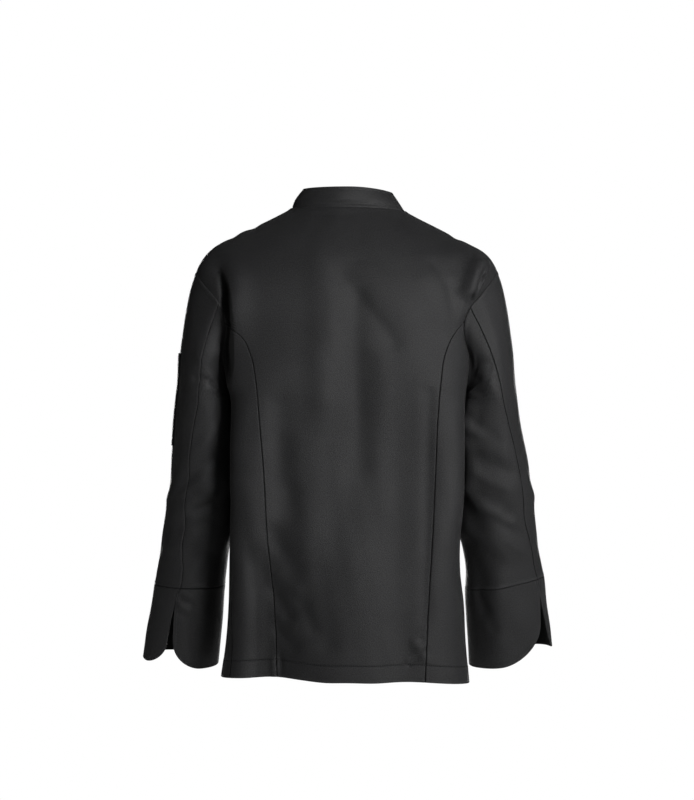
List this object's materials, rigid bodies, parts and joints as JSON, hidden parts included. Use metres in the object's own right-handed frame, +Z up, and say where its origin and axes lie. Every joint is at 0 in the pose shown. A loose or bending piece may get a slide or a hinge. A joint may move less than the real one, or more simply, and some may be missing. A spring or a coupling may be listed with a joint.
{
  "type": "chef jacket",
  "caption": "Long-sleeved double-breasted chef jacket as worn, hollow, with a stand collar, princess back seams and split turn-back cuffs.",
  "frame": {"origin": "between the wearer's shoulders, level with the side of the neck seam, where the jacket hangs on its wearer", "axes": "+Z up along the wearer, -Y the way the wearer faces, so the back of the jacket is at +Y; +X the wearer's left"},
  "size_m": [0.6898, 0.2933, 0.8119],
  "materials": {
    "black_twill": "black polyester-cotton twill, matt with a slight soft sheen",
    "button_plastic": "black moulded plastic, satin"
  },
  "bodies": {
    "root": {"back_centre": "black_twill", "back_side_left": "black_twill", "back_side_right": "black_twill", "front_left": "black_twill", "front_right": "black_twill", "sleeve_left_top": "black_twill", "sleeve_left_under": "black_twill", "sleeve_right_top": "black_twill", "sleeve_right_under": "black_twill", "cuff_left": "black_twill", "cuff_right": "black_twill", "collar": "black_twill", "sleeve_pocket": "black_twill", "button_left_1": "button_plastic", "button_left_2": "button_plastic", "button_left_3": "button_plastic", "button_left_4": "button_plastic", "button_left_5": "button_plastic", "button_right_1": "button_plastic", "button_right_2": "button_plastic", "button_right_3": "button_plastic", "button_right_4": "button_plastic", "button_right_5": "button_plastic"}
  },
  "joints": []
}
